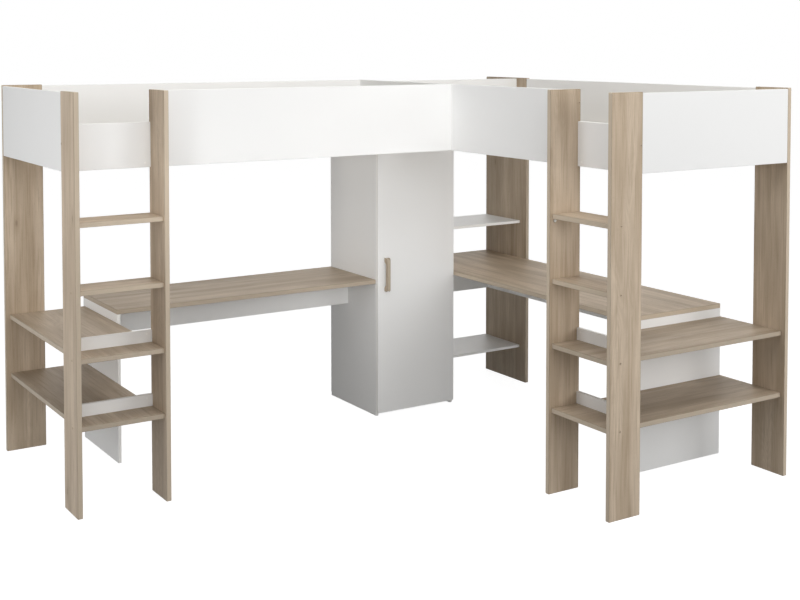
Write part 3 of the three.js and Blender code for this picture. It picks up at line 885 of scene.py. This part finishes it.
def handle_shape(low, high):
    """The outline (height, reach from the door) drawn across the width. Its inner side rises from
    the door as reach * (3 t^2 - 2 t^3). Towards each side the outline shrinks by
    ease * (1 - sqrt(1 - t^2))."""
    width, reach, height = high - low
    half = height / 2
    t = np.linspace(0, 1, 9)
    step = (reach - HANDLE_GRIP) * (3 * t**2 - 2 * t**3)
    rise = half - HANDLE_LEG - (HANDLE_SLOPE - HANDLE_LEG) * t
    turn = np.linspace(0, math.pi / 2, 8)
    corner_height = half - HANDLE_CORNER * (1 - np.cos(turn))
    corner_reach = reach - HANDLE_CORNER * (1 - np.sin(turn))
    front = np.stack([corner_height, corner_reach], -1)
    upper = np.concatenate([np.stack([rise, step], -1)[::-1], [[half, 0]], front])
    between = np.linspace(half, -half, 12)[3:-3]
    outer_line = np.stack([between, np.full(len(between), reach)], -1)
    inner_line = np.stack([between[::-1], np.full(len(between), reach - HANDLE_GRIP)], -1)
    outline = np.concatenate([upper, outer_line, (upper * [-1, 1])[::-1], inner_line])

    along = np.roll(outline, -1, 0) - np.roll(outline, 1, 0)
    normal = np.stack([-along[:, 1], along[:, 0]], -1) / np.linalg.norm(along, axis=1)[:, None]
    t = np.array([1, 0.8, 0.4, 0])
    inset = HANDLE_EASE * (1 - np.sqrt(1 - t**2))
    side = width / 2 - HANDLE_EASE * (1 - t)
    across = np.concatenate([-side, side[::-1]])
    shrink = np.concatenate([inset, inset[::-1]])
    drawn = outline[None] - normal[None] * shrink[:, None, None]
    points = np.empty((len(across), len(outline), 3))
    points[:, :, X] = (low[X] + high[X]) / 2 + across[:, None]
    points[:, :, Y] = high[Y] - drawn[:, :, 1]
    points[:, :, Z] = (low[Z] + high[Z]) / 2 + drawn[:, :, 0]
    return points.reshape(-1, 3), ring_faces(len(across), len(outline))


handle = boxes["door_handle"]
handle_oak = oak_finish("door_grip_oak", *handle, HANDLE_SEED, HANDLE_SHADE)
door_grip = piece("door_grip", handle_shape(*handle), handle_oak, "door")
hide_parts("door_handle")

# Screws on the door's inner face: through it into the handle, and in the wings of the hinge cups
HANDLE_SCREW = crossed_head(4 * MM, 1.3 * MM)
HANDLE_SCREW_INSET = 7 * MM
CUP_SCREW = crossed_head(3.4 * MM, 0.8 * MM)
CUP_SCREW_REACH = 24 * MM

heights = [handle[0][Z] + HANDLE_SCREW_INSET, handle[1][Z] - HANDLE_SCREW_INSET]
places = points_at((X, Y, Z), middle("door_handle", X), door_high[Y], heights)
handle_screws = repeated(HANDLE_SCREW, places, facing(Y))
piece("handle_screws", handle_screws, zinc, "door")

cup_screws = []
reach = np.array([-1, 1]) * CUP_SCREW_REACH
for cup_name in ("hinge_cup_1", "hinge_cup_2", "hinge_cup_3"):
    wing = boxes[cup_name][1][Y]
    places = points_at((X, Y, Z), middle(cup_name, X), wing, middle(cup_name) + reach)
    cup_screws.append(repeated(CUP_SCREW, places, facing(Y)))
piece("cup_screws", joined(cup_screws), zinc, "door")

# Stage, light and camera
FLOOR_HALF = 40
FLOOR_TONE = (0.25, 0.25, 0.25, 1)
FLOOR_SHADOW_TONE = (0.9, 0.9, 0.9, 1)
FLOOR_GLOW = 1.34
FLOOR_SHADOW_SHARE = 0.3
SKY = 0.03
SKY_BEHIND = 0.1
SKY_RIGHT = 0.1
SPOT_RADIUS = 0.3
SENSOR_WIDTH = 36  # millimetres, as the lens is
CAMERA_LENS = 57.187
CAMERA_SHIFT = -0.2518  # of the frame's width
CAMERA_PLACE = (-3.22, -5.1863, 2.0398)
CAMERA_TURN = (87.5, 0, -32.541)  # degrees


def make_floor():
    """A wide floor that is seen white with a faint shadow, and gives little light back itself."""
    points = np.array([[-1, -1, 0], [1, -1, 0], [1, 1, 0], [-1, 1, 0]], float) * FLOOR_HALF
    mesh = bpy.data.meshes.new("floor")
    mesh.from_pydata(points.tolist(), [], [(0, 1, 2, 3)])
    floor = bpy.data.objects.new("floor", mesh)
    bpy.context.scene.collection.objects.link(floor)
    finish = Finish("floor_white")
    seen = finish.backdrop_seen()
    colour = finish.mix(seen, FLOOR_TONE, FLOOR_SHADOW_TONE)
    shaded = finish.node("BsdfDiffuse", inputs={"Color": colour})
    glow = finish.node("Emission", inputs={"Strength": FLOOR_GLOW})
    share = seen * (1 - FLOOR_SHADOW_SHARE)
    blend = finish.node("MixShader", inputs={0: share, 1: shaded, 2: glow})
    finish.feed(finish.tree.nodes["Material Output"].inputs["Surface"], blend)
    finish.tree.nodes.remove(finish.shader)
    mesh.materials.append(finish.material)


def make_sky():
    """A plain soft sky, a little brighter behind and to the right: SKY + SKY_BEHIND * y +
    SKY_RIGHT * x, where x and y are the direction's parts, no less than 0. The camera, gloss and
    glass see white."""
    world = bpy.data.worlds.new("studio")
    bpy.context.scene.world = world
    world.use_nodes = True
    nodes = Nodes(world.node_tree)
    direction = nodes.split(nodes.node("TexCoord", output="Generated"))
    right, behind = direction[X].larger(0), direction[Y].larger(0)
    level = SKY + behind * SKY_BEHIND + right * SKY_RIGHT
    seen = nodes.backdrop_seen()
    background = world.node_tree.nodes["Background"]
    background.inputs["Color"].default_value = (1, 1, 1, 1)
    nodes.feed(background.inputs["Strength"], seen + (1 - seen) * level)


def add_light(name, kind, **settings):
    """A lamp of Blender's kind with its settings, not yet placed."""
    data = bpy.data.lights.new(name, kind)
    for setting, value in settings.items():
        setattr(data, setting, value)
    light = bpy.data.objects.new(name, data)
    bpy.context.scene.collection.objects.link(light)
    return light


def turn_to(light, place, aim):
    """Puts a lamp at a place, turned to a point, and out of sight."""
    light.location = place
    light.visible_camera = light.visible_glossy = False
    light.rotation_euler = (Vector(aim) - Vector(place)).to_track_quat("-Z", "Y").to_euler()


def soft_box(name, place, size, power, aim):
    """A square lamp of a width in metres and a power in watts, turned to a point."""
    turn_to(add_light(name, "AREA", energy=power, size=size), place, aim)


def soft_spot(name, place, power, aim, cone):
    """A round lamp whose light fades out towards the edge of its cone, in degrees across."""
    spread = {"spot_size": math.radians(cone), "spot_blend": 1}
    light = add_light(name, "SPOT", energy=power, shadow_soft_size=SPOT_RADIUS, **spread)
    turn_to(light, place, aim)


def far_light(name, azimuth, elevation, strength, spread):
    """A soft far light, its angles in degrees. Azimuth 0 shines along +Y and 90 along -X."""
    light = add_light(name, "SUN", energy=strength, angle=math.radians(spread))
    light.visible_glossy = False
    light.rotation_euler = (math.radians(90 - elevation), 0, math.radians(azimuth))


make_floor()
make_sky()
soft_box("left_lamp", place=(-4, 0.2, 1.6), size=2, power=43, aim=(0, 0.3, 1.2))
soft_box("right_lamp", place=(2.5, -4, 1.8), size=2, power=49, aim=(0.8, 0.4, 1))
soft_box("front_lamp", place=(-0.5, -6, 1.2), size=3, power=26, aim=(0, 0, 0.9))
soft_box("high_lamp", place=(-1, -1.5, 3.5), size=3, power=26, aim=(0, 0, 1.2))
soft_box("top_lamp", place=(0, -1, 4.5), size=4, power=92, aim=(0, 0, 0.9))
soft_spot("door_lamp", place=(-1.2, -2.6, 1), power=88, aim=(0.52, 0.66, 1.35), cone=34)
soft_spot("side_lamp", place=(-2.6, -1.2, 1.5), power=64, aim=(0.37, 0.9, 1.35), cone=30)
soft_box("floor_lamp", place=(-0.3, -0.6, 0.06), size=1.2, power=2, aim=(0.5, 0.4, 1.2))
far_light("low_light", azimuth=-15, elevation=5, strength=1.04, spread=50)
far_light("back_light", azimuth=145, elevation=6, strength=2.4, spread=40)

camera_data = bpy.data.cameras.new("camera")
camera_data.sensor_width = SENSOR_WIDTH
camera_data.lens = CAMERA_LENS
camera_data.shift_y = CAMERA_SHIFT
camera = bpy.data.objects.new("camera", camera_data)
camera.location = CAMERA_PLACE
camera.rotation_euler = [math.radians(angle) for angle in CAMERA_TURN]
bpy.context.scene.collection.objects.link(camera)
bpy.context.scene.camera = camera
bpy.context.scene.view_settings.view_transform = "Standard"
